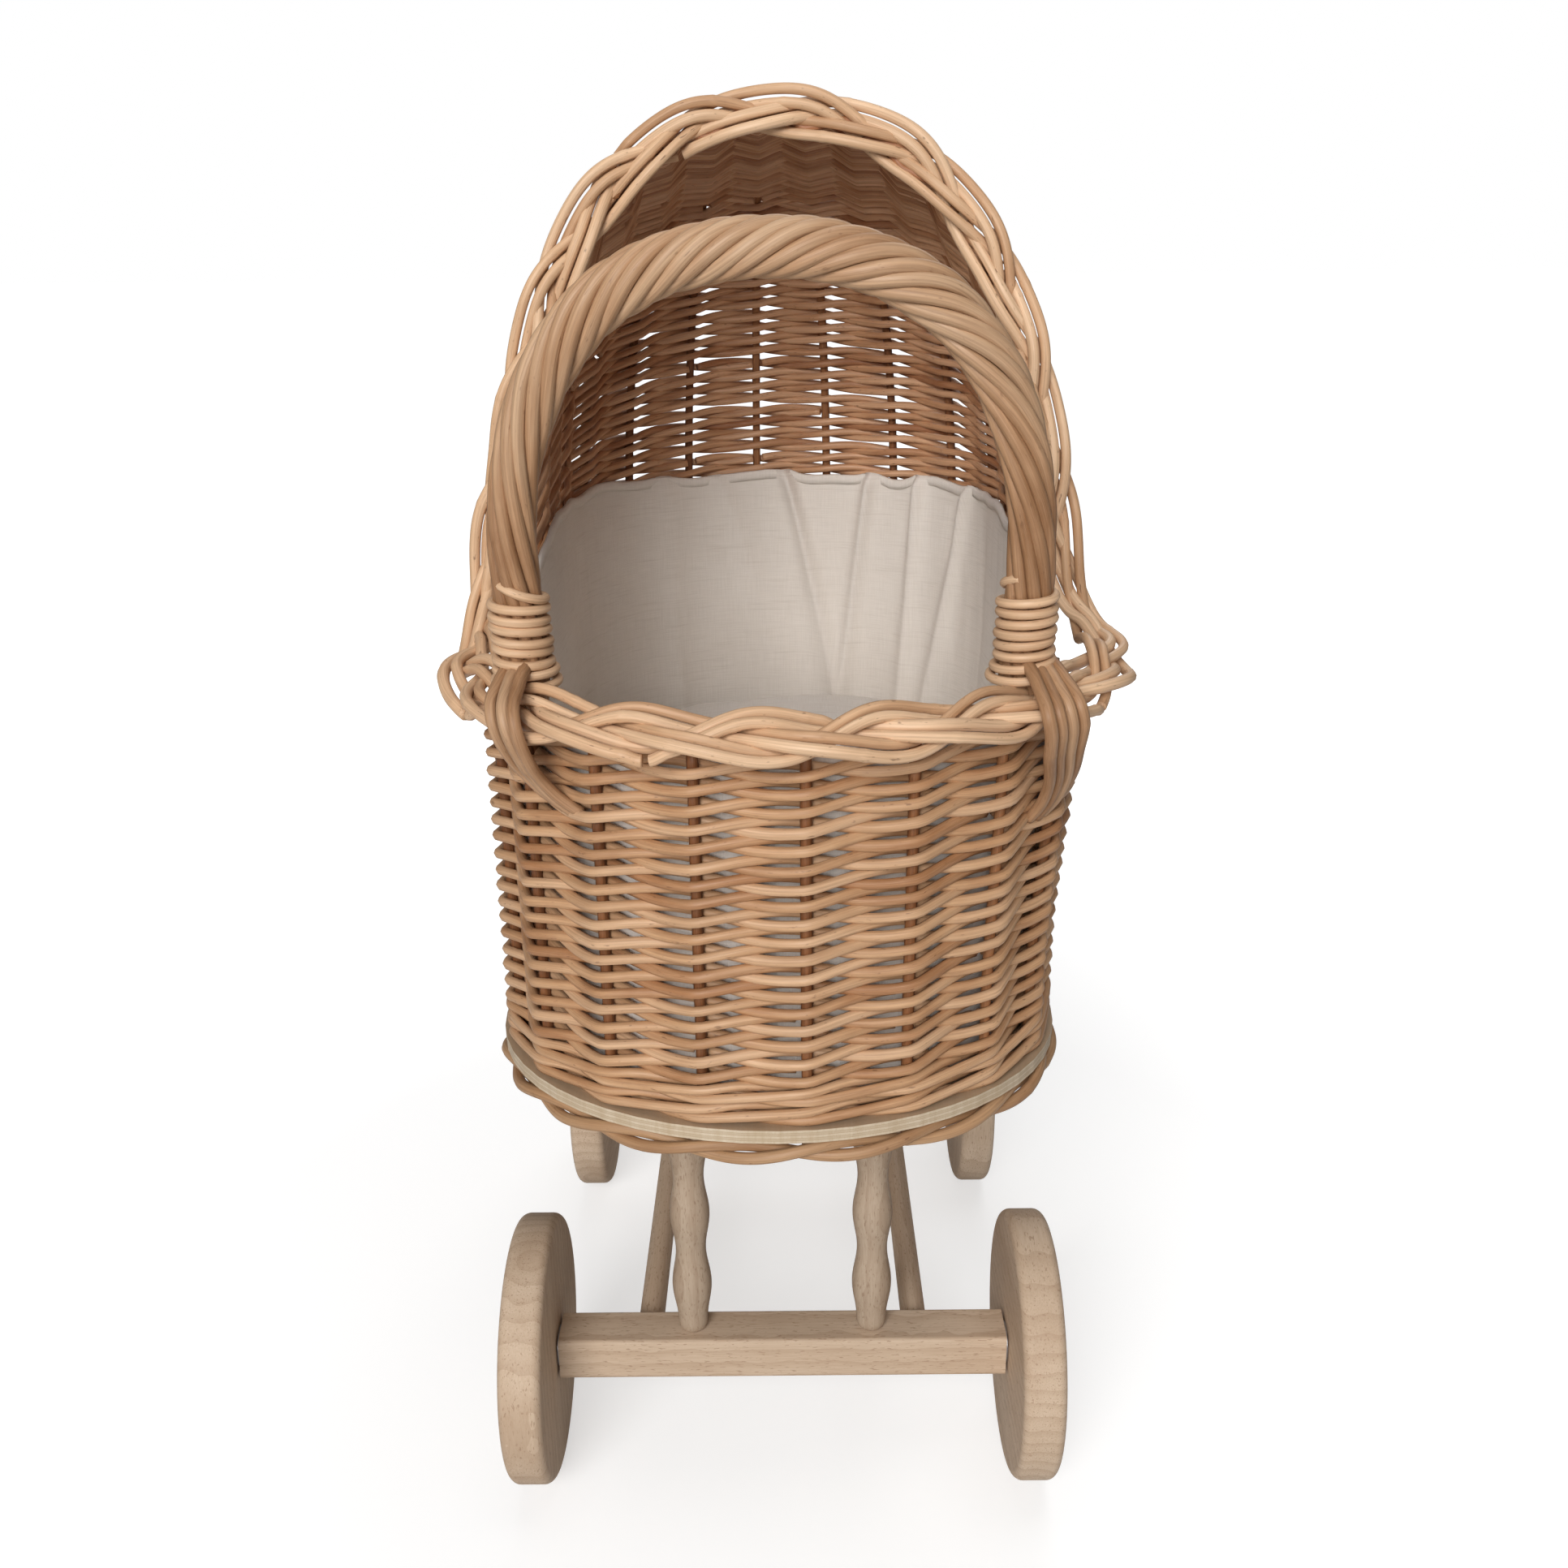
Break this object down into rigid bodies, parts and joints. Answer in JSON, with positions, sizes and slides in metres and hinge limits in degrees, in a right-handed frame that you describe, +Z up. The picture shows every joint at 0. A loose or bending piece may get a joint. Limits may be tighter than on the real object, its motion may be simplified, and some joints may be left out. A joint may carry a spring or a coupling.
{
  "type": "doll stroller",
  "caption": "Wicker doll stroller with a woven hood, a twisted bow handle and a linen lining, rolling on turned beech posts, axle beams and solid disc wheels.",
  "frame": {"origin": "on the ground, at the centre of the overall box", "axes": "+X to the right seen from behind the handle, +Y towards the hood and the direction of travel, +Z up"},
  "size_m": [0.3016, 0.4441, 0.6334],
  "materials": {
    "willow": "peeled willow rods, honey tan, satin",
    "willow_dark": "willow rods, reddish brown, satin",
    "willow_handle": "peeled willow rods, honey tan, satin",
    "beech": "unvarnished beech, fine grain, matt",
    "plywood": "birch plywood with pale edge plies",
    "steel": "plain zinc plated",
    "linen": "washed linen and cotton weave, matt"
  },
  "bodies": {
    "carriage": {"base_board": "plywood", "board_screws": "steel", "rear_axle_beam": "beech", "front_axle_beam": "beech", "left_stretcher": "beech", "right_stretcher": "beech", "spindle_rear_left": "beech", "spindle_rear_right": "beech", "spindle_front_left": "beech", "spindle_front_right": "beech", "axle_bolt_rear_left": "steel", "axle_bolt_rear_right": "steel", "axle_bolt_front_left": "steel", "axle_bolt_front_right": "steel", "axle_washers": "steel", "basket_stakes": "willow", "foot_border": "willow", "basket_waling": "willow", "basket_weave": "willow", "rim_border": "willow", "hood_weave": "willow_dark", "hood_stakes": "willow_dark", "hood_border": "willow", "handle_core": "willow_handle", "handle_strands": "willow_handle", "handle_binding_left": "willow", "handle_binding_right": "willow", "handle_tails_left": "willow_handle", "handle_tails_right": "willow_handle", "liner": "linen", "mattress": "linen", "pillow": "linen"},
    "wheel_rear_left": {"wheel_rear_left": "beech", "hub_cap_rear_left": "beech"},
    "wheel_rear_right": {"wheel_rear_right": "beech", "hub_cap_rear_right": "beech"},
    "wheel_front_left": {"wheel_front_left": "beech", "hub_cap_front_left": "beech"},
    "wheel_front_right": {"wheel_front_right": "beech", "hub_cap_front_right": "beech"}
  },
  "joints": [
    {"name": "spin_rear_left", "type": "hinge", "parent": "carriage", "child": "wheel_rear_left", "pos_m": [-0.12, -0.1241, 0.064], "axis": [1, 0, 0], "continuous": true},
    {"name": "spin_rear_right", "type": "hinge", "parent": "carriage", "child": "wheel_rear_right", "pos_m": [0.12, -0.1241, 0.064], "axis": [1, 0, 0], "continuous": true},
    {"name": "spin_front_left", "type": "hinge", "parent": "carriage", "child": "wheel_front_left", "pos_m": [-0.12, 0.1359, 0.064], "axis": [1, 0, 0], "continuous": true},
    {"name": "spin_front_right", "type": "hinge", "parent": "carriage", "child": "wheel_front_right", "pos_m": [0.12, 0.1359, 0.064], "axis": [1, 0, 0], "continuous": true}
  ]
}
